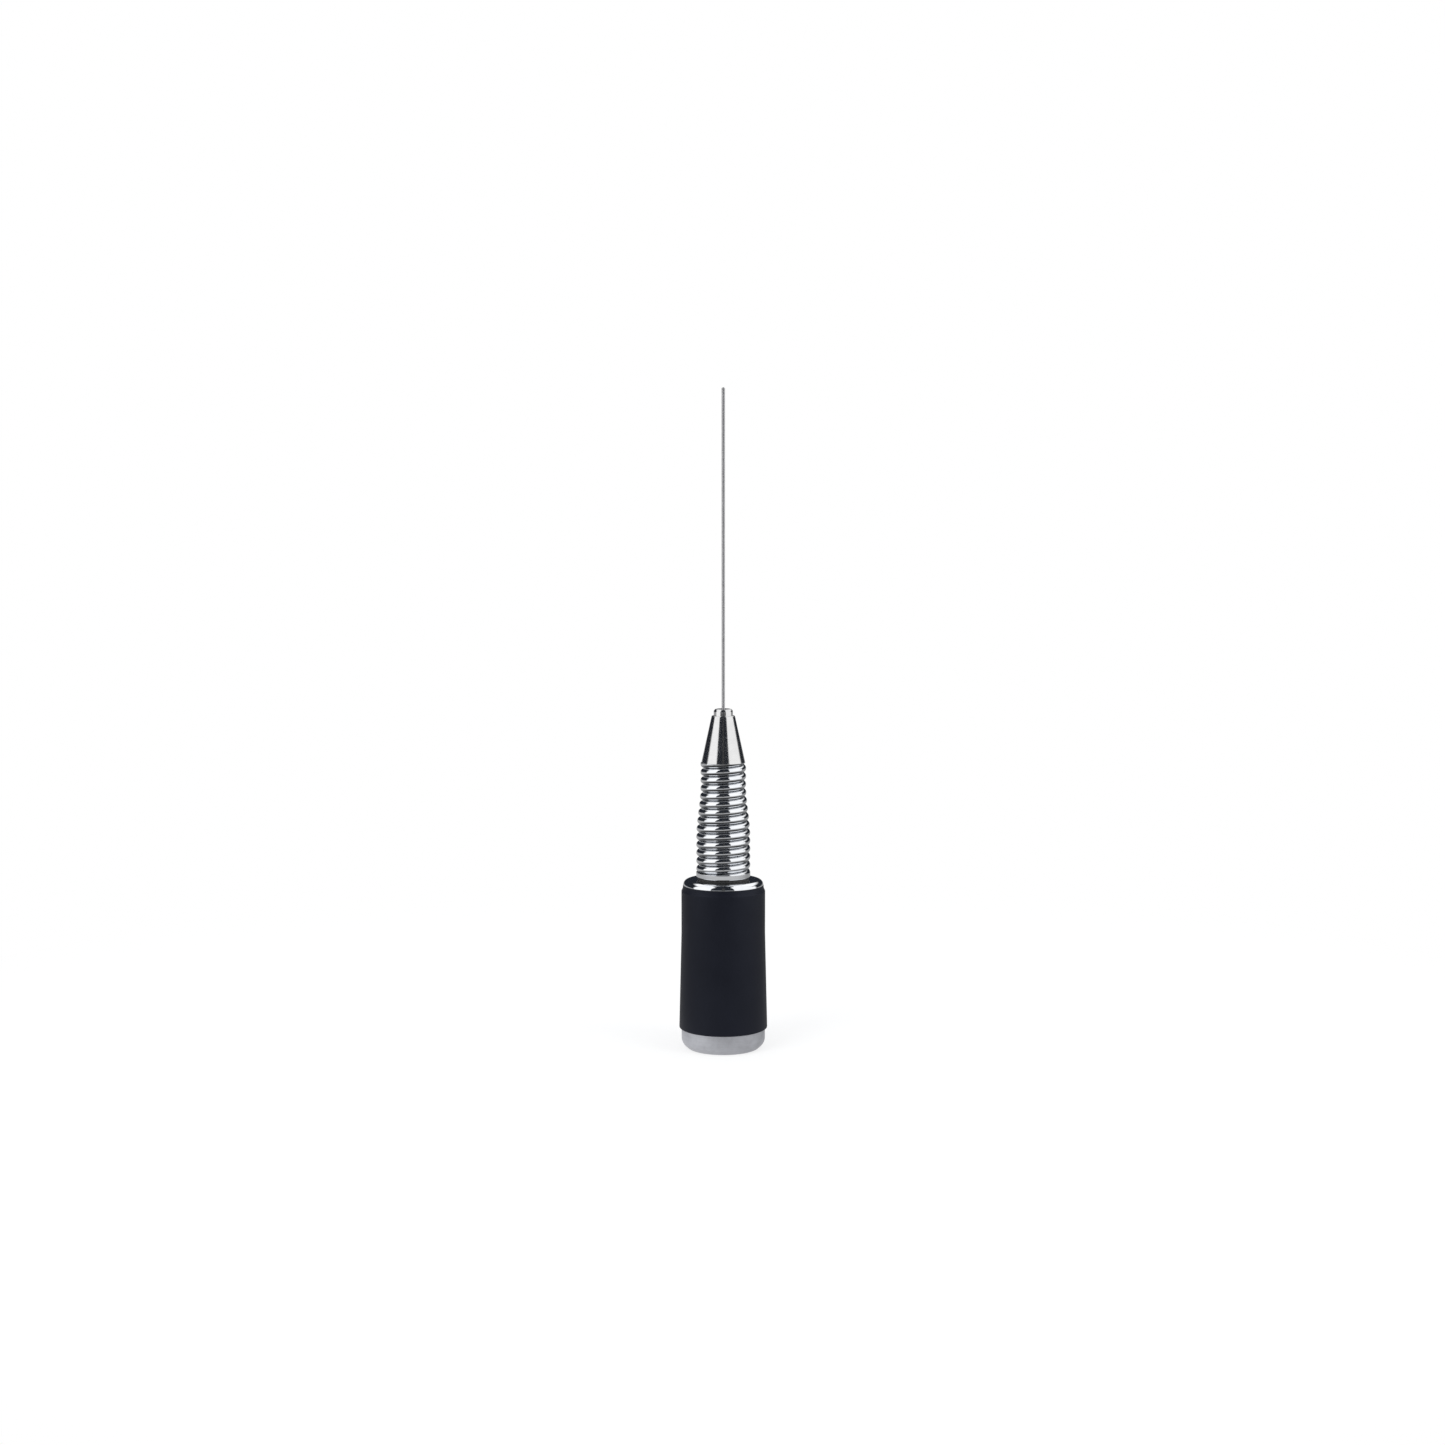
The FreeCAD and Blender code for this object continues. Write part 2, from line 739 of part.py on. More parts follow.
# ---------------------------------------------------------------- shock spring, plug and braid


def spring_plug():
    """Plug that screws onto the stud: a neck, a collar under the spring and a spigot inside its end."""
    plug = turned_body(
        "spring_plug",
        [
            (ZERO, s.plug_socket_top_z),
            (s.stud_hole_radius, s.plug_socket_top_z),
            (s.stud_hole_radius, s.cap_top_z),
            (s.plug_neck_radius, s.cap_top_z),
            (s.plug_neck_radius, s.plug_collar_bottom_z),
            (s.spring_lower_radius, s.plug_collar_bottom_z),
            (s.spring_lower_radius, s.spring_bottom_z),
            (plug_spigot_radius, s.spring_bottom_z),
            (plug_spigot_radius, plug_top_z),
            (ZERO, plug_top_z),
        ],
    )
    edge = (s.spring_lower_radius, s.plug_collar_bottom_z)
    return keep(dress(plug, "Fillet", [edge], s.plug_collar_rounding), "spring_plug")


def plug_washer():
    """Black rubber washer round the plug's neck that keeps water out of the stud's thread."""
    inner = s.plug_neck_radius + s.assembly_gap
    top = s.plug_collar_bottom_z - s.assembly_gap
    outline = [
        (inner, s.cap_top_z),
        (s.plug_washer_radius, s.cap_top_z),
        (s.plug_washer_radius, top),
        (inner, top),
    ]
    return keep(turned_body("plug_washer", outline), "plug_washer")


def spring_mean_radius(height):
    """Radius of the wire's centre at a height: two plain ends with a smooth taper between them."""
    low, high = s.spring_taper_bottom_z.value, s.spring_taper_top_z.value
    share = min(1.0, max(0.0, (height - low) / (high - low)))
    smooth = share * share * (3 - 2 * share)
    return spring_lower_mean.value + (spring_upper_mean.value - spring_lower_mean.value) * smooth


def shock_spring():
    """Tapered, close-wound, right-hand spring with both end coils closed and ground flat.

    No FreeCAD helix has a radius that tapers only part of the way, so the path is a curve through
    points of the formula, swept with Part's own pipe shell. It runs past both ends, where the grinding
    takes it away, and leaves each end coil thinning to an edge.
    """
    bottom, top = s.spring_bottom_z.value, s.spring_top_z.value
    pitch, overrun = s.spring_pitch.value, s.spring_ground_overrun.value
    start = bottom - overrun
    turns = (top + overrun - start) / pitch
    steps = math.ceil(turns * POINTS_PER_TURN)
    points = []
    for i in range(steps + 1):
        angle = 2 * math.pi * turns * i / steps
        height = start + pitch * turns * i / steps
        radius = spring_mean_radius(height)
        points.append(Vector(radius * math.cos(angle), radius * math.sin(angle), height))
    curve = Part.BSplineCurve()
    curve.interpolate(points)
    tangent = curve.tangent(curve.FirstParameter)[0]
    pipe = Part.BRepOffsetAPI.MakePipeShell(Part.Wire(curve.toShape()))
    pipe.setFrenetMode(True)
    pipe.add(Part.Wire(Part.makeCircle(s.spring_wire_radius.value, points[0], tangent)))
    pipe.build()
    pipe.makeSolid()
    slab_radius = s.spring_lower_radius.value * 2
    slab = Part.makeCylinder(slab_radius, top - bottom, Vector(0, 0, bottom))
    ground = pipe.shape().common(slab)
    spring = doc.addObject("Part::Feature", "spring_coil")
    spring.Shape = max(ground.Solids, key=lambda solid: solid.Volume)
    spring.Placement = Placement(
        Vector(0, 0, 0), Rotation(Vector(0, 0, 1), s.spring_start_angle.value)
    )
    return keep(spring, "shock_spring")


def ferrule(label, closed_z, open_z):
    """Crimped cup on one end of the braid, closed against the plug or the cone."""
    floor_z = closed_z + s.ferrule_wall * (1 if open_z.value > closed_z.value else -1)
    bore = s.braid_radius + s.assembly_gap
    outline = [
        (ZERO, closed_z),
        (s.ferrule_radius, closed_z),
        (s.ferrule_radius, open_z),
        (bore, open_z),
        (bore, floor_z),
        (ZERO, floor_z),
    ]
    return keep(turned_body(label, outline), label)


def shunt_braid():
    """Flexible braid that joins the plug to the cone electrically."""
    bottom = plug_top_z + s.ferrule_wall
    length = cone_spigot_bottom_z - s.ferrule_wall - bottom
    return keep(cylinder("braid", s.braid_radius, length, (ZERO, ZERO, bottom)), "shunt_braid")


# ---------------------------------------------------------------- cone, set screws and whip

whip_socket_bottom_z = s.whip_bottom_z - s.running_gap


def whip_cone():
    """Cone with a spigot inside the spring's last turn, a socket for the whip and two tapped holes."""
    cone = turned_body(
        "cone",
        [
            (ZERO, cone_spigot_bottom_z),
            (cone_spigot_radius, cone_spigot_bottom_z),
            (cone_spigot_radius, s.spring_top_z),
            (s.cone_base_radius, s.spring_top_z),
            (s.cone_shoulder_radius, s.cone_top_z),
            (s.nib_radius, s.cone_top_z),
            (s.nib_radius, s.nib_top_z),
            (whip_hole_radius, s.nib_top_z),
            (whip_hole_radius, whip_socket_bottom_z),
            (ZERO, whip_socket_bottom_z),
        ],
    )
    dress(cone, "Fillet", [(s.nib_radius, s.nib_top_z)], s.nib_rounding)
    dress(cone, "Fillet", [(s.cone_shoulder_radius, s.cone_top_z)], s.cone_shoulder_rounding)
    hole = s.set_screw_radius + s.running_gap
    tools = [
        cylinder("tapped_hole", hole, s.spring_upper_radius, (ZERO, ZERO, z), Vector(0, 1, 0))
        for z in (s.lower_set_screw_z, s.upper_set_screw_z)
    ]
    return keep(cut("cone", cone, tools), "whip_cone")


def set_screw(label, screw_z):
    """Grub screw with a flat point on the whip and a hexagon socket facing out, along +Y."""
    point_length = s.set_screw_radius - s.set_screw_point_radius
    body = turned_body(
        label + "_blank",
        [
            (ZERO, ZERO),
            (s.set_screw_point_radius, ZERO),
            (s.set_screw_radius, point_length),
            (s.set_screw_radius, s.set_screw_length),
            (ZERO, s.set_screw_length),
        ],
    )
    socket = doc.addObject("Part::Prism", label + "_socket")
    socket.Polygon = 6
    corner_radius = s.set_screw_socket_width * HEXAGON_CORNER_PER_WIDTH
    bind(socket, Circumradius=corner_radius, Height=s.set_screw_socket_depth)
    floor_z = s.set_screw_length - s.set_screw_socket_depth
    socket.setExpression("Placement.Base.z", floor_z.text)
    screw = cut(label, body, [socket])
    screw.Placement = Placement(Vector(0, 0, 0), Rotation(Vector(1, 0, 0), -90))
    screw.setExpression("Placement.Base.y", s.whip_radius.text)
    screw.setExpression("Placement.Base.z", screw_z.text)
    return keep(screw, label)


def whip():
    """Straight steel whip with a rounded tip."""
    ends = [(s.whip_radius, s.whip_bottom_z), (s.whip_radius, s.whip_top_z)]
    outline = [(ZERO, s.whip_bottom_z), *ends, (ZERO, s.whip_top_z)]
    rod = turned_body("whip", outline)
    dress(rod, "Fillet", ends[1:], s.whip_tip_rounding)
    return keep(rod, "whip")


# ---------------------------------------------------------------- build, check and write


def build():
    base_ring()
    mount_gasket()
    contact_insulator()
    insulator_screws()
    contact_barrel()
    contact_plunger()
    contact_spring()
    coil_form()
    loading_coil()
    ground_lead()
    top_lead()
    feed_lead()
    form_insert()
    cap_stud()
    round_seal("lower_seal", s.lower_seal_z)
    housing_sleeve()
    round_seal("upper_seal", s.upper_seal_z)
    top_cap()
    spring_plug()
    plug_washer()
    ferrule("lower_ferrule", plug_top_z, plug_top_z + s.ferrule_length)
    shock_spring()
    shunt_braid()
    ferrule("upper_ferrule", cone_spigot_bottom_z, cone_spigot_bottom_z - s.ferrule_length)
    whip_cone()
    set_screw("lower_set_screw", s.lower_set_screw_z)
    set_screw("upper_set_screw", s.upper_set_screw_z)
    whip()
    doc.recompute()


def check():
    """Stops if any object failed, or any sub-part is empty, broken or not made of solids."""
    for thing in doc.Objects:
        if {"Invalid", "Error"} & set(thing.State):
            raise RuntimeError(f"{thing.Name} failed: {thing.State}")
    for part in parts:
        shape = part.Shape
        if shape.isNull() or not shape.isValid() or not shape.Solids:
            raise RuntimeError(f"{part.Label} has no valid solid")


def write():
    os.makedirs("parts", exist_ok=True)
    for part in parts:
        part.Shape.exportStep(f"parts/{part.Label}.step")


build()
check()
write()
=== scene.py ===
# The looks of a base-loaded whip antenna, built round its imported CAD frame. Metres throughout, +Z up.
#
# Turned pieces are spun again at a fine resolution from the section of their own CAD node, with their
# sharp corners slightly broken. The shock spring, the shunt braid, the thread's ridges and the contact
# spring are swept wires. Every other CAD node stays and gets a procedural finish.

import bmesh
import bpy
import json
import math

from mathutils import Matrix, Vector

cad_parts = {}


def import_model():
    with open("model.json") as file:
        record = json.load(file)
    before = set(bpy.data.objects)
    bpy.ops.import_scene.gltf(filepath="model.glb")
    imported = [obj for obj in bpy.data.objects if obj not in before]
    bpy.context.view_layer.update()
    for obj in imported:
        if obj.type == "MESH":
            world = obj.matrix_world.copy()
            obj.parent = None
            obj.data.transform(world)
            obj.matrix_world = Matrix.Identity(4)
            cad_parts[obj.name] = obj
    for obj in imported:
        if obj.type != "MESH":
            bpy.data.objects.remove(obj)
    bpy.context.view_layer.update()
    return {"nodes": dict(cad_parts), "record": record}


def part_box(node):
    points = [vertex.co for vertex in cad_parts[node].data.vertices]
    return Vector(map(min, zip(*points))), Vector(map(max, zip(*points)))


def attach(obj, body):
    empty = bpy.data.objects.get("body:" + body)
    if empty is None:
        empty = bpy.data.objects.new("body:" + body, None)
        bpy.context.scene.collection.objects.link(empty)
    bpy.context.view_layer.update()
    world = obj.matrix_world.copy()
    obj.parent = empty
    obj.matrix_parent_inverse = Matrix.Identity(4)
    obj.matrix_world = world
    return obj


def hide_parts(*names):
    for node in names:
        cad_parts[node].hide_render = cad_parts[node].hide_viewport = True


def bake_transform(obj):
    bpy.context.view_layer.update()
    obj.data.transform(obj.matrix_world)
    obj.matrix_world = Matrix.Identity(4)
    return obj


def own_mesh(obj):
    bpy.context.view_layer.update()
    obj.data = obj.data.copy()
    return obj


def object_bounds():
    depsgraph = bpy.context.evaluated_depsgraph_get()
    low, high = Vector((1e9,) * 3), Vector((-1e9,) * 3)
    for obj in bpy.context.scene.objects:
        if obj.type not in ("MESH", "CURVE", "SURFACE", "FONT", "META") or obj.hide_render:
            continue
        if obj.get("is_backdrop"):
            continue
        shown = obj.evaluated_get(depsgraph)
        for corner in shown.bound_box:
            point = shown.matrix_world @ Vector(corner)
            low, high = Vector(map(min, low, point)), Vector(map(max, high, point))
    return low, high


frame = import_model()

MM = 0.001
FINE = 256
MEDIUM = 96
SAME_POINT = 1e-7
WELD_DISTANCE = 1e-6
SHARP_DEGREES = 35.0

# ---------------------------------------------------------------- mesh helpers


def add_piece(name, mesh, material, sharp_degrees=SHARP_DEGREES):
    """Turns a bmesh into a shaded object. Edges that turn more than the given angle stay sharp."""
    bmesh.ops.recalc_face_normals(mesh, faces=mesh.faces[:])
    limit = math.radians(sharp_degrees)
    for face in mesh.faces:
        face.smooth = True
    for edge in mesh.edges:
        edge.smooth = len(edge.link_faces) == 2 and edge.calc_face_angle(0.0) < limit
    data = bpy.data.meshes.new(name)
    mesh.to_mesh(data)
    mesh.free()
    data.materials.append(material)
    piece = bpy.data.objects.new(name, data)
    bpy.context.scene.collection.objects.link(piece)
    return piece


def stand_for(piece, node):
    """Puts a piece in the place of one CAD node: it joins the node's body, and the node is hidden."""
    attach(piece, body_of_node[node])
    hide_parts(node)
    return piece


def cad_section(node):
    """Section of a turned CAD node on its +X side, as (radius, height) points in order round it."""
    mesh = bmesh.new()
    mesh.from_mesh(frame["nodes"][node].data)
    bmesh.ops.remove_doubles(mesh, verts=mesh.verts[:], dist=WELD_DISTANCE)
    for normal, clear in (((1, 0, 0), True), ((0, 1, 0), False)):
        found = bmesh.ops.bisect_plane(
            mesh,
            geom=mesh.verts[:] + mesh.edges[:] + mesh.faces[:],
            plane_co=(0, 0, 0),
            plane_no=normal,
            dist=WELD_DISTANCE * 2,
            clear_inner=clear,
        )
    links = {}
    for item in found["geom_cut"]:
        if isinstance(item, bmesh.types.BMEdge):
            a, b = item.verts
            links.setdefault(a, []).append(b)
            links.setdefault(b, []).append(a)
    ends = [v for v, near in links.items() if len(near) == 1]
    current = min(ends or links, key=lambda v: (v.co.z, v.co.x))
    order = [current]
    seen = {current}
    while True:
        step = [v for v in links[current] if v not in seen]
        if not step:
            break
        current = step[0]
        seen.add(current)
        order.append(current)
    points = [Vector((max(v.co.x, 0.0), v.co.z)) for v in order]
    mesh.free()
    return drop_straight(points, closed=not ends), not ends


def drop_straight(points, closed):
    """Removes the points that lie on a straight stretch."""
    kept = []
    for i, point in enumerate(points):
        if not closed and i in (0, len(points) - 1):
            kept.append(point)
            continue
        before = point - points[i - 1]
        after = points[(i + 1) % len(points)] - point
        if before.length < SAME_POINT:
            continue
        if after.length < SAME_POINT or before.angle(after) > math.radians(0.4):
            kept.append(point)
    return kept


def break_corners(points, closed, radius, sharp_degrees=30.0, steps=4):
    """Rounds the sharp corners of a section, and puts a support point just past each rounding."""
    result = []
    count = len(points)
    for i, corner in enumerate(points):
        if not closed and i in (0, count - 1):
            result.append(corner)
            continue
        back = points[i - 1] - corner
        ahead = points[(i + 1) % count] - corner
        turn = math.pi - back.angle(ahead)
        if turn < math.radians(sharp_degrees):
            result.append(corner)
            continue
        reach = min(radius * math.tan(turn / 2), back.length * 0.4, ahead.length * 0.4)
        start = corner + back.normalized() * reach
        end = corner + ahead.normalized() * reach
        if back.length > reach * 3:
            result.append(corner + back.normalized() * reach * 1.6)
        for k in range(steps + 1):
            t = k / steps
            result.append(start * (1 - t) ** 2 + corner * 2 * t * (1 - t) + end * t * t)
        if ahead.length > reach * 3:
            result.append(corner + ahead.normalized() * reach * 1.6)
    return result


def spin(points, closed, segments):
    """Spins a section about Z into a closed bmesh."""
    mesh = bmesh.new()
    rings = []
    for point in points:
        if point.x < SAME_POINT:
            rings.append([mesh.verts.new((0, 0, point.y))])
            continue
        ring = []
        for k in range(segments):
            angle = 2 * math.pi * k / segments
            ring.append(mesh.verts.new((point.x * math.cos(angle), point.x * math.sin(angle), point.y)))
        rings.append(ring)
    pairs = list(zip(rings, rings[1:]))
    if closed:
        pairs.append((rings[-1], rings[0]))
    for low, high in pairs:
        for k in range(segments):
            corners = [low[k % len(low)], low[(k + 1) % len(low)]]
            corners += [high[(k + 1) % len(high)], high[k % len(high)]]
            unique = list(dict.fromkeys(corners))
            if len(unique) > 2:
                mesh.faces.new(unique)
    return mesh


def respun(node, name, material, radius, segments=FINE):
    """A turned CAD node, spun again from its own section with its corners broken."""
    points, closed = cad_section(node)
    mesh = spin(break_corners(points, closed, radius), closed, segments)
    return stand_for(add_piece(name, mesh, material), node)


def swept(path, frames, section):
    """Sweeps a closed 2D section along a path and caps its ends. frames gives the section's axes."""
    mesh = bmesh.new()
    rings = []
    for i, (point, (side, up)) in enumerate(zip(path, frames)):
        outline = section(i) if callable(section) else section
        rings.append([mesh.verts.new(point + side * a + up * b) for a, b in outline])
    count = len(rings[0])
    for low, high in zip(rings, rings[1:]):
        for k in range(count):
            after = (k + 1) % count
            mesh.faces.new((low[k], low[after], high[after], high[k]))
    mesh.faces.new(rings[0][::-1])
    mesh.faces.new(rings[-1])
    return mesh


def circle(radius, sides):
    """Section of a round wire."""
    return [
        (radius * math.cos(2 * math.pi * k / sides), radius * math.sin(2 * math.pi * k / sides))
        for k in range(sides)
    ]


def helix_frames(path):
    """Section axes for a path that winds about Z: one points outwards, one across the wire."""
    frames = []
    for i, point in enumerate(path):
        along = (path[min(i + 1, len(path) - 1)] - path[max(i - 1, 0)]).normalized()
        out = Vector((point.x, point.y, 0)).normalized()
        out = (out - along * out.dot(along)).normalized()
        frames.append((out, along.cross(out)))
    return frames


def cut_flat(mesh, height, keep_above):
    """Cuts a bmesh off flat at a height and closes the cut."""
    found = bmesh.ops.bisect_plane(
        mesh,
        geom=mesh.verts[:] + mesh.edges[:] + mesh.faces[:],
        plane_co=(0, 0, height),
        plane_no=(0, 0, 1),
        clear_inner=keep_above,
        clear_outer=not keep_above,
    )
    rim = [item for item in found["geom_cut"] if isinstance(item, bmesh.types.BMEdge)]
    bmesh.ops.holes_fill(mesh, edges=rim, sides=0)


# ---------------------------------------------------------------- material helpers


class Graph:
    """A material's node graph, with short ways to add and join nodes. Its lengths are in millimetres."""

    def __init__(self, name):
        self.material = bpy.data.materials.new(name)
        self.material.use_nodes = True
        self.tree = self.material.node_tree
        self.tree.nodes.clear()
        self.surface = self.tree.nodes.new("ShaderNodeBsdfPrincipled")
        output = self.tree.nodes.new("ShaderNodeOutputMaterial")
        self.tree.links.new(self.surface.outputs[0], output.inputs[0])
        place = self.tree.nodes.new("ShaderNodeTexCoord").outputs["Object"]
        self.place = self.vector_math("SCALE", place, scale=1000.0)

    def put(self, target, value):
        """Joins a node's output to an input, or sets the input to a number or colour."""
        if isinstance(value, bpy.types.NodeSocket):
            self.tree.links.new(value, target)
        elif isinstance(value, (tuple, list)) and len(value) == 3 and target.type == "RGBA":
            target.default_value = (*value, 1.0)
        else:
            target.default_value = value

    def set(self, **values):
        """Sets inputs of the material's surface by name."""
        for name, value in values.items():
            label = name.replace("_", " ").title().replace("Ior", "IOR")
            self.put(self.surface.inputs[label], value)

    def math(self, operation, a, b=0.0, clamp=False):
        node = self.tree.nodes.new("ShaderNodeMath")
        node.operation = operation
        node.use_clamp = clamp
        self.put(node.inputs[0], a)
        self.put(node.inputs[1], b)
        return node.outputs[0]

    def vector_math(self, operation, a, b=None, scale=None):
        node = self.tree.nodes.new("ShaderNodeVectorMath")
        node.operation = operation
        self.put(node.inputs[0], a)
        if b is not None:
            self.put(node.inputs[1], b)
        if scale is not None:
            node.inputs["Scale"].default_value = scale
        return node.outputs[0]

    def noise(self, per_mm, detail=3.0, rough=0.55, place=None, stretch=None):
        """Noise between 0 and 1 with features 1 / per_mm across, stretched along the axes if asked."""
        where = place or self.place
        if stretch:
            where = self.vector_math("MULTIPLY", where, stretch)
        node = self.tree.nodes.new("ShaderNodeTexNoise")
        self.put(node.inputs["Vector"], where)
        node.inputs["Scale"].default_value = per_mm
        node.inputs["Detail"].default_value = detail
        node.inputs["Roughness"].default_value = rough
        return node.outputs[0]

    def span(self, value, low_in, high_in, low_out, high_out):
        """Maps one range of a value to another, and holds it at the ends."""
        node = self.tree.nodes.new("ShaderNodeMapRange")
        self.put(node.inputs[0], value)
        for socket, number in zip(node.inputs[1:5], (low_in, high_in, low_out, high_out)):
            self.put(socket, number)
        return node.outputs[0]

    def blend(self, share, low, high):
        """Mixes two colours."""
        node = self.tree.nodes.new("ShaderNodeMix")
        node.data_type = "RGBA"
        self.put(node.inputs[0], share)
        self.put(node.inputs[6], low)
        self.put(node.inputs[7], high)
        return node.outputs[2]

    def lathe_place(self):
        """Coordinates that follow a lathe tool: round the axis, then along the turned profile."""
        split = self.tree.nodes.new("ShaderNodeSeparateXYZ")
        self.put(split.inputs[0], self.place)
        x, y, z = split.outputs
        squares = self.math("ADD", self.math("MULTIPLY", x, x), self.math("MULTIPLY", y, y))
        radius = self.math("SQRT", squares)
        angle = self.math("ARCTAN2", y, x)
        along = self.math("ADD", radius, self.math("MULTIPLY", z, 1.7))
        join = self.tree.nodes.new("ShaderNodeCombineXYZ")
        self.put(join.inputs[0], self.math("SINE", angle))
        self.put(join.inputs[1], self.math("COSINE", angle))
        self.put(join.inputs[2], along)
        return join.outputs[0]

    def bump(self, height, depth_mm, normal=None):
        """Surface direction after a fine relief, laid over another relief if one is given."""
        node = self.tree.nodes.new("ShaderNodeBump")
        self.put(node.inputs["Height"], height)
        node.inputs["Distance"].default_value = depth_mm * MM
        if normal is not None:
            self.put(node.inputs["Normal"], normal)
        return node.outputs[0]


def metal(name, dark, light, roughness, marks_depth, marks_per_mm=6.0, smudge=0.05):
    """Turned or plated metal: marks that run round the axis, wipe marks, and a faint change of tone."""
    g = Graph(name)
    lathe = g.lathe_place()
    marks = g.noise(marks_per_mm, 4.0, 0.6, lathe, (0.25, 0.25, 1.0))
    wipes = g.noise(0.35, 4.0, 0.6)
    pits = g.noise(9.0, 2.0, 0.5)
    tone = g.math("ADD", g.math("MULTIPLY", marks, 0.5), g.math("MULTIPLY", wipes, 0.5))
    g.set(metallic=1.0, base_color=g.blend(g.span(tone, 0.35, 0.65, 0.0, 1.0), dark, light))
    spread = g.span(wipes, 0.4, 0.7, 0.0, smudge)
    grain = g.span(marks, 0.3, 0.7, -smudge * 0.4, smudge * 0.4)
    g.set(roughness=g.math("ADD", g.math("ADD", spread, grain), roughness, clamp=True))
    g.set(normal=g.bump(pits, marks_depth * 0.3, g.bump(marks, marks_depth)))
    return g.material


def moulded(
    name, dark, light, roughness, grain_per_mm=4.0, grain_depth=0.006, shine=0.5, sheen=(1.0, 1.0, 1.0)
):
    """Moulded plastic or rubber: spark-eroded grain, uneven gloss and light rubbing."""
    g = Graph(name)
    grain = g.noise(grain_per_mm, 5.0, 0.62)
    cloud = g.noise(0.08, 3.0, 0.5)
    rub = g.noise(0.9, 5.0, 0.7, None, (1.0, 1.0, 0.18))
    tone = g.math("ADD", g.math("MULTIPLY", cloud, 0.6), g.math("MULTIPLY", grain, 0.4))
    g.set(base_color=g.blend(g.span(tone, 0.3, 0.7, 0.0, 1.0), dark, light))
    worn = g.span(rub, 0.55, 0.8, 0.0, -0.1)
    gloss = g.span(grain, 0.3, 0.7, -0.04, 0.04)
    g.set(roughness=g.math("ADD", g.math("ADD", worn, gloss), roughness, clamp=True))
    g.set(normal=g.bump(grain, grain_depth, g.bump(cloud, grain_depth * 4)))
    g.set(specular_ior_level=shine, specular_tint=sheen)
    return g.material


def wire_metal(name, dark, light, roughness, coat=0.0):
    """Drawn wire: fine streaks and small dark specks, with an enamel coat if asked."""
    g = Graph(name)
    streaks = g.noise(5.0, 4.0, 0.65)
    broad = g.noise(0.5, 3.0, 0.5)
    tone = g.math("ADD", g.math("MULTIPLY", streaks, 0.6), g.math("MULTIPLY", broad, 0.4))
    g.set(metallic=1.0, base_color=g.blend(g.span(tone, 0.3, 0.7, 0.0, 1.0), dark, light))
    g.set(roughness=g.math("ADD", g.span(streaks, 0.3, 0.7, -0.06, 0.06), roughness, clamp=True))
    g.set(normal=g.bump(streaks, 0.004), coat_weight=coat, coat_roughness=0.08)
    return g.material


MATERIALS = {
    "satin_nickel": metal(
        "satin_nickel", (0.46, 0.465, 0.50), (0.61, 0.62, 0.66), 0.42, 0.008, 5.0, 0.12
    ),
    "black_abs": moulded(
        "black_abs", (0.0042, 0.0048, 0.0085), (0.0066, 0.0075, 0.0125),
        0.50, 4.0, 0.006, 0.19, (0.80, 0.86, 1.0),
    ),
    "chrome_plate": metal(
        "chrome_plate", (0.70, 0.72, 0.75), (0.80, 0.81, 0.83), 0.05, 0.0006, 4.0, 0.05
    ),
    "cone_plate": metal("cone_plate", (0.60, 0.60, 0.60), (0.68, 0.68, 0.68), 0.12, 0.0006, 4.0, 0.05),
    "stainless_wire": metal(
        "stainless_wire", (0.37, 0.37, 0.38), (0.50, 0.50, 0.51), 0.24, 0.003, 7.0, 0.10
    ),
    "seal_rubber": moulded("seal_rubber", (0.012, 0.012, 0.012), (0.024, 0.024, 0.025), 0.62, 3.0, 0.01),
    "natural_nylon": moulded("natural_nylon", (0.60, 0.57, 0.48), (0.72, 0.69, 0.60), 0.48, 2.5, 0.008),
    "glass_filled_nylon": moulded(
        "glass_filled_nylon", (0.030, 0.030, 0.032), (0.060, 0.060, 0.064), 0.55, 6.0, 0.01
    ),
    "zinc_screw": metal("zinc_screw", (0.52, 0.53, 0.55), (0.70, 0.70, 0.68), 0.28, 0.004),
    "turned_brass": metal("turned_brass", (0.62, 0.42, 0.16), (0.80, 0.60, 0.29), 0.24, 0.005),
    "gold_flash": metal("gold_flash", (0.80, 0.56, 0.20), (0.95, 0.74, 0.36), 0.16, 0.003),
    "spring_steel": wire_metal("spring_steel", (0.34, 0.34, 0.35), (0.52, 0.52, 0.53), 0.30),
    "enamelled_copper": wire_metal(
        "enamelled_copper", (0.45, 0.14, 0.06), (0.64, 0.26, 0.13), 0.25, 1.0
    ),
    "tinned_braid": wire_metal("tinned_braid", (0.42, 0.42, 0.42), (0.66, 0.66, 0.65), 0.34),
    "black_oxide": metal("black_oxide", (0.022, 0.022, 0.026), (0.050, 0.050, 0.056), 0.36, 0.004),
}

record = frame["record"]
slot_of_node = {part["node"]: part["material_slot"] for part in record["subparts"]}
body_of_node = {n: body for body, nodes in record["behaviour"]["bodies"].items() for n in nodes}


def finish_cad_nodes():
    """Gives every CAD node the finish of its material slot."""
    for node, shown in frame["nodes"].items():
        shown.data.materials.clear()
        shown.data.materials.append(MATERIALS[slot_of_node[node]])


# ---------------------------------------------------------------- pieces

# The shock spring's path, as in the CAD model.
WIRE_RADIUS = 1.7 * MM
COIL_PITCH = 3.47 * MM
UPPER_COIL_RADIUS = 9.75 * MM
TAPER_LOW = 91.5 * MM
TAPER_HIGH = 114.0 * MM
COIL_START = math.radians(195.0)

# Width of the whip's piece against the CAD rod, so that the set screws' tips stop just short of it.
WHIP_CLEARANCE = 0.985


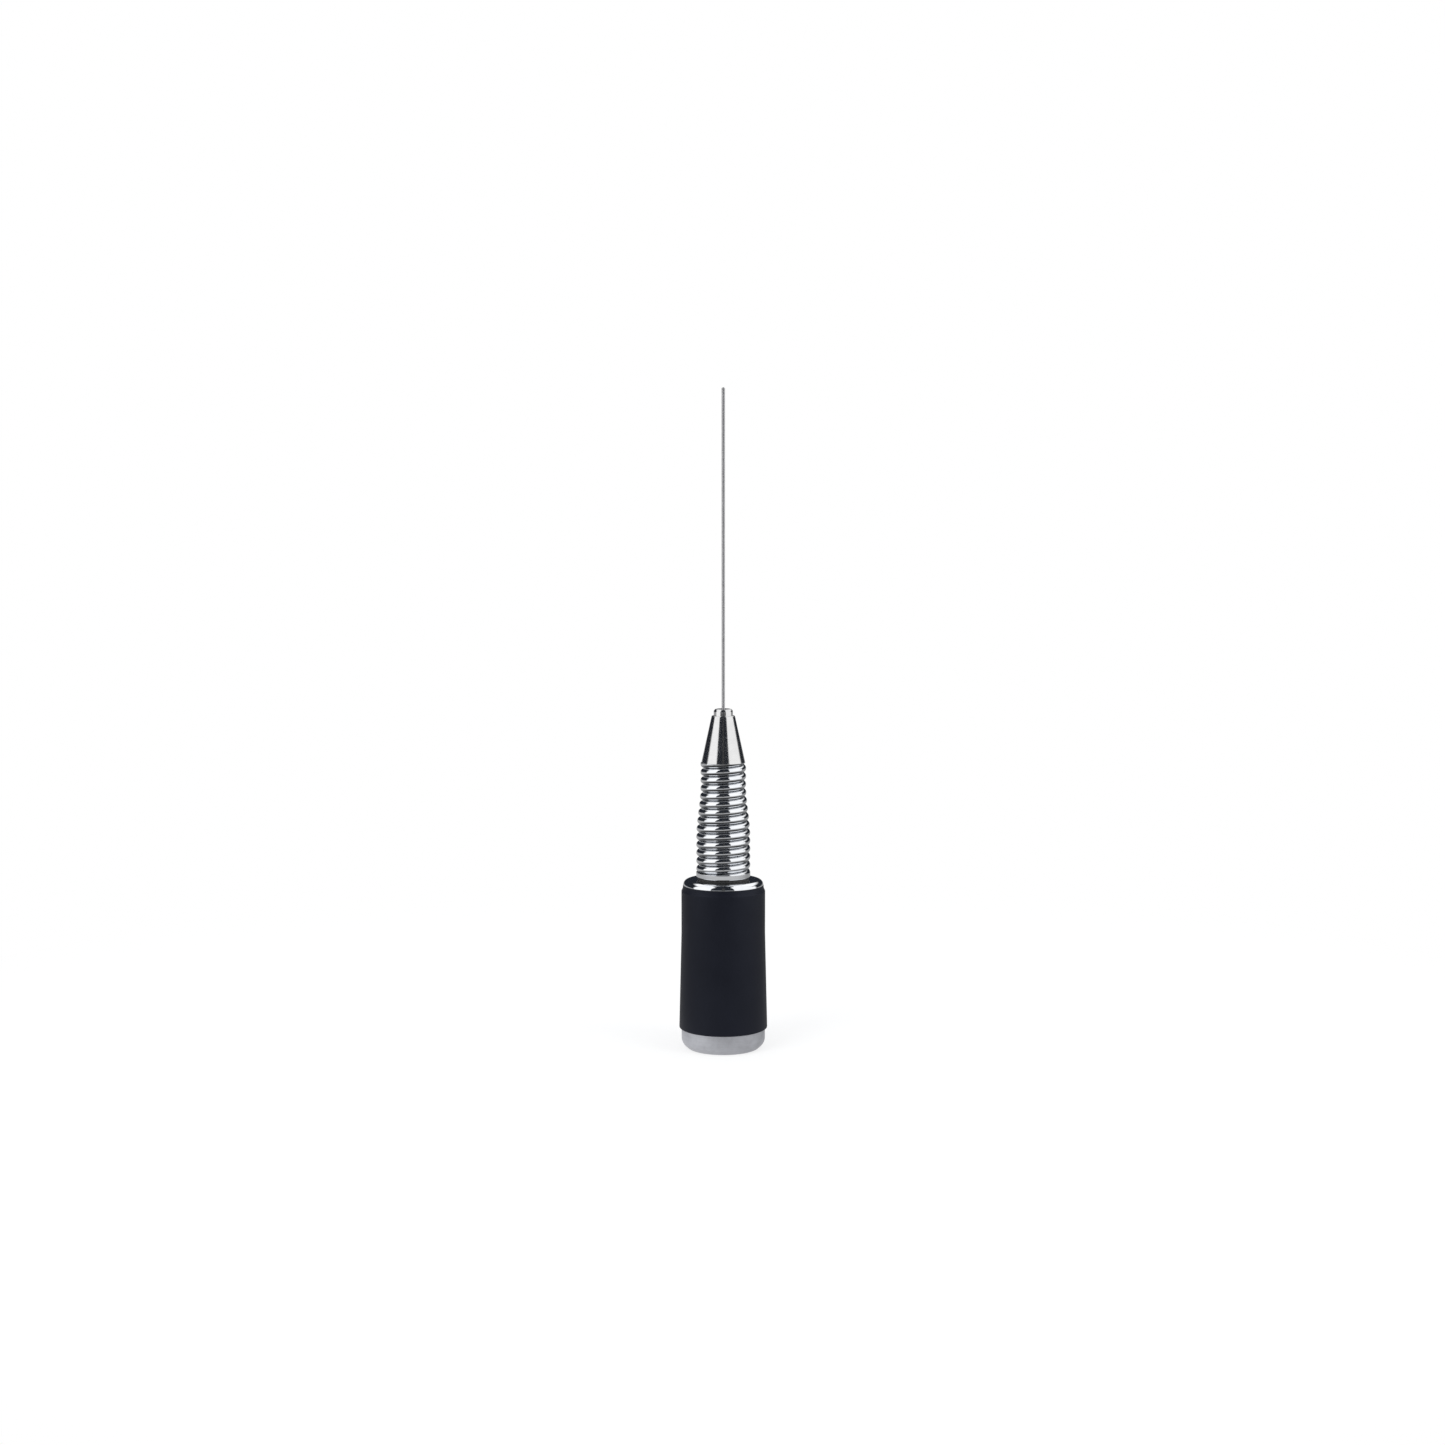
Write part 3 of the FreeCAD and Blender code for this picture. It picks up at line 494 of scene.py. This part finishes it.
def turned_pieces():
    """Every piece that is only its CAD node's section, spun with broken corners."""
    respun("base_ring", "base_ring_metal", MATERIALS["satin_nickel"], 0.12 * MM)
    respun("housing_sleeve", "sleeve_shell", MATERIALS["black_abs"], 0.15 * MM)
    respun("top_cap", "cap_metal", MATERIALS["chrome_plate"], 0.12 * MM)
    respun("spring_plug", "plug_metal", MATERIALS["chrome_plate"], 0.10 * MM)
    respun("plug_washer", "washer_rubber", MATERIALS["seal_rubber"], 0.12 * MM)
    rod = respun("whip", "whip_rod_metal", MATERIALS["stainless_wire"], 0.05 * MM, MEDIUM)
    rod.data.transform(Matrix.Diagonal((WHIP_CLEARANCE, WHIP_CLEARANCE, 1, 1)))
    respun("mount_gasket", "gasket_rubber", MATERIALS["seal_rubber"], 0.15 * MM)
    respun("contact_plunger", "contact_pin", MATERIALS["gold_flash"], 0.06 * MM, MEDIUM)


def cone():
    """The whip's cone, with its two screw holes countersunk."""
    points, closed = cad_section("whip_cone")
    outline = break_corners(points, closed, 0.14 * MM)
    body = add_piece("cone_metal", spin(outline, closed, FINE), MATERIALS["cone_plate"])
    for node in ("lower_set_screw", "upper_set_screw"):
        low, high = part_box(node)
        centre = (low + high) / 2
        radius = (high.x - low.x) / 2 + 0.05 * MM
        surface = cone_radius_at(points, centre.z)
        mouth = radius + 0.35 * MM
        drill = spin(
            [
                Vector((0, 0)),
                Vector((radius, 0)),
                Vector((radius, surface - 0.45 * MM)),
                Vector((mouth, surface)),
                Vector((mouth, surface + 4 * MM)),
                Vector((0, surface + 4 * MM)),
            ],
            False,
            MEDIUM,
        )
        tool = add_piece("drill", drill, MATERIALS["cone_plate"])
        turn = Matrix.Rotation(math.radians(-90), 4, "X")
        tool.data.transform(Matrix.Translation((0, 0, centre.z)) @ turn)
        cut_away(body, tool)
    return stand_for(body, "whip_cone")


def cone_radius_at(points, height):
    """Largest radius of a section at a height."""
    found = 0.0
    for a, b in zip(points, points[1:]):
        if min(a.y, b.y) <= height <= max(a.y, b.y) and a.y != b.y:
            share = (height - a.y) / (b.y - a.y)
            found = max(found, a.x + (b.x - a.x) * share)
    return found


def cut_away(piece, tool):
    """Takes the tool's volume out of a piece, and drops the tool."""
    change = piece.modifiers.new("cut", "BOOLEAN")
    change.operation = "DIFFERENCE"
    change.solver = "EXACT"
    change.object = tool
    bpy.context.view_layer.objects.active = piece
    with bpy.context.temp_override(object=piece, active_object=piece):
        bpy.ops.object.modifier_apply(modifier="cut")
    bpy.data.objects.remove(tool)
    mesh = bmesh.new()
    mesh.from_mesh(piece.data)
    limit = math.radians(SHARP_DEGREES)
    for edge in mesh.edges:
        edge.smooth = len(edge.link_faces) == 2 and edge.calc_face_angle(0.0) < limit
    mesh.to_mesh(piece.data)
    mesh.free()


def coil_radius(height, lower, upper):
    """Radius of the spring wire's centre at a height, with a smooth taper between two plain ends."""
    share = min(1.0, max(0.0, (height - TAPER_LOW) / (TAPER_HIGH - TAPER_LOW)))
    return lower + (upper - lower) * share * share * (3 - 2 * share)


def shock_spring():
    """Close-wound spring with both ends ground flat."""
    low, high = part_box("shock_spring")
    bottom, top = low.z, high.z
    lower = high.x - WIRE_RADIUS
    upper = UPPER_COIL_RADIUS - WIRE_RADIUS
    start = bottom - WIRE_RADIUS * 0.98
    turns = (top + WIRE_RADIUS * 0.98 - start) / COIL_PITCH
    first = COIL_START + 2 * math.pi * (start - (bottom - WIRE_RADIUS * 1.1)) / COIL_PITCH
    steps = int(turns * 72)
    path = []
    for i in range(steps + 1):
        angle = first + 2 * math.pi * turns * i / steps
        height = start + COIL_PITCH * turns * i / steps
        radius = coil_radius(height, lower, upper)
        path.append(Vector((radius * math.cos(angle), radius * math.sin(angle), height)))
    mesh = swept(path, helix_frames(path), circle(WIRE_RADIUS, 28))
    cut_flat(mesh, bottom, True)
    cut_flat(mesh, top, False)
    spring = add_piece("shock_spring_wire", mesh, MATERIALS["chrome_plate"])
    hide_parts("shock_spring")
    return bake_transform(spring)


def shunt_braid():
    """Woven braid: two families of flat strands that pass over and under each other."""
    low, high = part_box("shunt_braid")
    strands = 8
    wires = 3
    wire = 0.13 * MM
    lay = 13.0 * MM
    middle = high.x - wire * 2.3
    length = high.z - low.z
    steps = 110
    whole = bmesh.new()
    for family in (1, -1):
        for strand in range(strands):
            for k in range(wires):
                offset = (k - (wires - 1) / 2) * wire * 2.05
                path = []
                for i in range(steps + 1):
                    climb = length * i / steps
                    swing = 2 * math.pi * climb / lay
                    angle = family * swing + 2 * math.pi * strand / strands
                    radius = middle + family * wire * 1.1 * math.cos(strands * swing)
                    tilt = offset / radius
                    path.append(
                        Vector(
                            (
                                radius * math.cos(angle + tilt),
                                radius * math.sin(angle + tilt),
                                low.z + climb,
                            )
                        )
                    )
                part = swept(path, helix_frames(path), circle(wire, 6))
                data = bpy.data.meshes.new("strand")
                part.to_mesh(data)
                part.free()
                whole.from_mesh(data)
                bpy.data.meshes.remove(data)
    braid = add_piece("braid_strands", whole, MATERIALS["tinned_braid"], 80.0)
    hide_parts("shunt_braid")
    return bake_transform(braid)


def mount_thread():
    """Ridges of the 18 to the inch thread inside the base ring."""
    pitch = 25.4 / 18 * MM
    mount = next(m for m in record["mounts"] if m["kind"] == "threaded_hole")
    wall = mount["dims"]["r_mm"] * MM
    length = mount["dims"]["length_mm"] * MM
    middle = mount["pos_m"][2]
    depth = pitch * 0.541
    turns = (length - pitch) / pitch
    steps = int(turns * 96)
    fade = 0.12
    path = []
    for i in range(steps + 1):
        angle = 2 * math.pi * turns * i / steps
        height = middle - (length - pitch) / 2 + pitch * turns * i / steps
        path.append(Vector((wall * math.cos(angle), wall * math.sin(angle), height)))

    def ridge(i):
        share = min(1.0, i / (steps * fade), (steps - i) / (steps * fade))
        crest = -depth * (0.04 + 0.96 * share)
        root = pitch * 0.44
        top_half = pitch * 0.10
        sunk = 0.06 * MM
        flank = [(0, root), (crest, top_half), (crest, -top_half), (0, -root)]
        return [(sunk, -root), (sunk, root)] + flank

    mesh = swept(path, helix_frames(path), ridge)
    piece = add_piece("mount_thread_ridges", mesh, MATERIALS["satin_nickel"], 20.0)
    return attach(piece, "housing")


def contact_spring():
    """Compression spring of the centre contact."""
    low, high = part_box("contact_spring")
    wire = 0.18 * MM
    centre = high.x - wire
    turns = 7.0
    steps = int(turns * 40)
    path = []
    for i in range(steps + 1):
        share = i / steps
        angle = 2 * math.pi * turns * share
        eased = share + math.sin(4 * math.pi * share) * -0.02
        height = low.z + wire + (high.z - low.z - wire * 2) * eased
        path.append(Vector((centre * math.cos(angle), centre * math.sin(angle), height)))
    mesh = swept(path, helix_frames(path), circle(wire, 12))
    spring = add_piece("contact_spring_wire", mesh, MATERIALS["spring_steel"])
    stand_for(spring, "contact_spring")
    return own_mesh(spring)


# ---------------------------------------------------------------- studio


FLOOR_RADIUS = 40.0

# How light the floor's painted glow looks in reflections, by where it is seen: painted reflections.
FLOOR_FRONT_PAINTED_REFLECTION = 0.60
FLOOR_FAR_FRONT_PAINTED_REFLECTION = 0.10
FLOOR_BACK_LEFT_PAINTED_REFLECTION = 0.46
FLOOR_BACK_RIGHT_PAINTED_REFLECTION = 0.36
FLOOR_BELOW_PAINTED_REFLECTION = 0.04
FLOOR_NEAR_LEFT_PAINTED_REFLECTION = 0.86
FLOOR_NEAR_RIGHT_PAINTED_REFLECTION = 0.47


def floor_material():
    """Pale floor. It takes a faint shadow near the object, and fades into the backdrop's white far away.

    In reflections it shows a painted glow: light close to the object and in front of it, and dark
    further away in front, behind it and straight below.
    """
    g = Graph("floor_pale")
    split = g.tree.nodes.new("ShaderNodeSeparateXYZ")
    g.put(split.inputs[0], g.place)
    x, y, _ = split.outputs
    away = g.math("SQRT", g.math("ADD", g.math("MULTIPLY", x, x), g.math("MULTIPLY", y, y)))
    grain = g.noise(0.2, 3.0, 0.5)
    g.set(base_color=g.blend(grain, (0.90, 0.90, 0.90), (0.94, 0.94, 0.94)), roughness=0.7)
    path = g.tree.nodes.new("ShaderNodeLightPath")
    towards = g.tree.nodes.new("ShaderNodeNewGeometry").outputs["Incoming"]
    rise = g.tree.nodes.new("ShaderNodeSeparateXYZ")
    g.put(rise.inputs[0], towards)
    # Painted reflection: the floor's glow for reflected rays, lighter or darker by where the floor is.
    behind = g.span(x, -200.0, 200.0, FLOOR_BACK_LEFT_PAINTED_REFLECTION, FLOOR_BACK_RIGHT_PAINTED_REFLECTION)
    front = g.span(y, -1000.0, -550.0, FLOOR_FAR_FRONT_PAINTED_REFLECTION, FLOOR_FRONT_PAINTED_REFLECTION)
    far = g.span(y, -200.0, 200.0, front, behind)
    grazing = g.span(rise.outputs[2], 0.30, 0.60, far, FLOOR_BELOW_PAINTED_REFLECTION)
    # Painted highlight: close to the object the floor's glow is lighter on its left than on its right.
    beside = g.span(x, -30.0, 30.0, FLOOR_NEAR_LEFT_PAINTED_REFLECTION, FLOOR_NEAR_RIGHT_PAINTED_REFLECTION)
    nearby = g.span(path.outputs["Ray Length"], 0.03, 0.07, beside, 0.0)
    glow = g.tree.nodes.new("ShaderNodeEmission")
    glow.inputs[0].default_value = (1, 1, 1, 1)
    reflected = g.math("MAXIMUM", grazing, nearby)
    g.put(glow.inputs[1], g.span(path.outputs["Is Glossy Ray"], 0.0, 1.0, 1.0, reflected))
    mix = g.tree.nodes.new("ShaderNodeMixShader")
    # Painted light: near the object the floor is 70 percent white glow, which washes out most of its
    # shadow.
    shadowless = g.span(away, 60.0, 420.0, 0.70, 1.0)
    g.put(mix.inputs[0], g.math("MAXIMUM", shadowless, path.outputs["Is Glossy Ray"]))
    g.put(mix.inputs[1], g.surface.outputs[0])
    g.put(mix.inputs[2], glow.outputs[0])
    output = next(n for n in g.tree.nodes if n.type == "OUTPUT_MATERIAL")
    g.put(output.inputs[0], mix.outputs[0])
    g.material.cycles.emission_sampling = "NONE"
    return g.material


def floor():
    """Wide round floor just under the base ring."""
    mesh = bmesh.new()
    bmesh.ops.create_circle(mesh, cap_ends=True, radius=FLOOR_RADIUS, segments=64)
    piece = add_piece("floor", mesh, floor_material())
    piece.location.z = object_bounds()[0].z - 0.05 * MM
    piece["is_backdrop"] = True


def panel_material(strength):
    """White light panel whose edges fall off softly."""
    g = Graph("panel_light")
    split = g.tree.nodes.new("ShaderNodeSeparateXYZ")
    g.put(split.inputs[0], g.tree.nodes.new("ShaderNodeTexCoord").outputs["UV"])
    edges = []
    for across in split.outputs[:2]:
        inner = g.math("ABSOLUTE", g.math("SUBTRACT", across, 0.5))
        edges.append(g.span(inner, 0.42, 0.5, 1.0, 0.0))
    glow = g.tree.nodes.new("ShaderNodeEmission")
    glow.inputs[0].default_value = (1, 1, 1, 1)
    g.put(glow.inputs[1], g.math("MULTIPLY", g.math("MULTIPLY", *edges), strength))
    output = next(n for n in g.tree.nodes if n.type == "OUTPUT_MATERIAL")
    g.put(output.inputs[0], glow.outputs[0])
    g.material.cycles.emission_sampling = "NONE"
    return g.material


def panel(name, start, end, bottom, top, strength):
    """Upright panel between two (x, y) places, seen only in reflections."""
    mesh = bmesh.new()
    corners = [(*start, bottom), (*end, bottom), (*end, top), (*start, top)]
    face = mesh.faces.new([mesh.verts.new(c) for c in corners])
    unwrapped = mesh.loops.layers.uv.new("panel")
    for loop, place in zip(face.loops, ((0, 0), (1, 0), (1, 1), (0, 1))):
        loop[unwrapped].uv = place
    piece = add_piece(name, mesh, panel_material(strength))
    piece.visible_camera = False
    piece.visible_diffuse = False
    piece.visible_transmission = False
    piece.visible_shadow = False
    piece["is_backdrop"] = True


def world():
    """White to the camera, soft white as light, and in reflections a dark studio, paler low in front."""
    made = bpy.data.worlds.new("studio")
    bpy.context.scene.world = made
    made.use_nodes = True
    tree = made.node_tree
    tree.nodes.clear()

    def node(kind, **values):
        created = tree.nodes.new(kind)
        for socket, value in values.items():
            created.inputs[int(socket[1:])].default_value = value
        return created

    def span(value, *numbers):
        mapped = node("ShaderNodeMapRange", **{f"_{i}": n for i, n in enumerate(numbers, start=1)})
        tree.links.new(value, mapped.inputs[0])
        return mapped.outputs[0]

    direction = node("ShaderNodeSeparateXYZ")
    tree.links.new(node("ShaderNodeTexCoord").outputs["Generated"], direction.inputs[0])
    low = span(direction.outputs[2], 0.02, 0.13, 1.0, 0.0)
    in_front = span(direction.outputs[1], -0.4, 0.0, 1.0, 0.0)
    both = node("ShaderNodeMath")
    both.operation = "MULTIPLY"
    tree.links.new(low, both.inputs[0])
    tree.links.new(in_front, both.inputs[1])
    tone = node("ShaderNodeMix")
    tone.data_type = "RGBA"
    tree.links.new(both.outputs[0], tone.inputs[0])
    tone.inputs[6].default_value = (0.020, 0.023, 0.030, 1)
    tone.inputs[7].default_value = (0.55, 0.56, 0.58, 1)
    reflected = node("ShaderNodeBackground")
    tree.links.new(tone.outputs[2], reflected.inputs[0])
    fill = node("ShaderNodeBackground", _0=(0.95, 0.97, 1.0, 1), _1=0.95)
    backdrop = node("ShaderNodeBackground", _0=(1, 1, 1, 1))
    path = node("ShaderNodeLightPath")
    shiny = node("ShaderNodeMixShader")
    seen = node("ShaderNodeMixShader")
    tree.links.new(path.outputs["Is Glossy Ray"], shiny.inputs[0])
    tree.links.new(fill.outputs[0], shiny.inputs[1])
    tree.links.new(reflected.outputs[0], shiny.inputs[2])
    tree.links.new(path.outputs["Is Camera Ray"], seen.inputs[0])
    tree.links.new(shiny.outputs[0], seen.inputs[1])
    tree.links.new(backdrop.outputs[0], seen.inputs[2])
    tree.links.new(seen.outputs[0], node("ShaderNodeOutputWorld").inputs[0])


def lamp(name, place, target, size, watts):
    """Soft round light that shows in no reflection."""
    light = bpy.data.lights.new(name, "AREA")
    light.shape = "DISK"
    light.size = size
    light.energy = watts
    item = bpy.data.objects.new(name, light)
    bpy.context.scene.collection.objects.link(item)
    item.location = place
    item.rotation_euler = (Vector(target) - Vector(place)).to_track_quat("-Z", "Y").to_euler()
    item.visible_glossy = False


def studio():
    world()
    floor()
    panel("panel_left", (-0.70, -1.00), (-0.70, 0.08), -0.30, 2.6, 1.3)
    panel("panel_right", (0.70, -1.20), (0.70, 0.28), -0.30, 2.6, 1.25)
    panel("panel_front", (-0.10, -1.25), (0.10, -1.25), 0.1, 1.6, 0.06)
    panel("panel_back_left", (-0.72, 0.00), (-0.10, 0.90), 0.55, 2.4, 1.3)
    panel("panel_back_right", (0.10, 0.90), (0.72, 0.06), 0.36, 2.4, 1.3)
    lamp("key", (-0.6, -0.7, 0.9), (0, 0, 0.1), 0.7, 6.0)
    lamp("fill_light", (0.8, -0.5, 0.7), (0, 0, 0.1), 0.7, 4.0)


CAMERA_TARGET = Vector((-0.34 * MM, 0, 140.64 * MM))
CAMERA_DISTANCE = 856.6 * MM
CAMERA_ELEVATION = math.radians(5.0)


def camera():
    """Camera in front of the antenna, a little above the horizon and level with its middle."""
    lens = bpy.data.cameras.new("camera")
    lens.lens = 50.0
    lens.sensor_width = 36.0
    lens.clip_start = 0.01
    lens.clip_end = 100.0
    item = bpy.data.objects.new("camera", lens)
    bpy.context.scene.collection.objects.link(item)
    back = Vector((0, -math.cos(CAMERA_ELEVATION), math.sin(CAMERA_ELEVATION)))
    item.location = CAMERA_TARGET + back * CAMERA_DISTANCE
    item.rotation_euler = (-back).to_track_quat("-Z", "Y").to_euler()
    bpy.context.scene.camera = item


# ---------------------------------------------------------------- build

finish_cad_nodes()
turned_pieces()
cone()
shock_spring()
shunt_braid()
mount_thread()
contact_spring()
studio()
camera()
bpy.context.scene.view_settings.view_transform = "Standard"
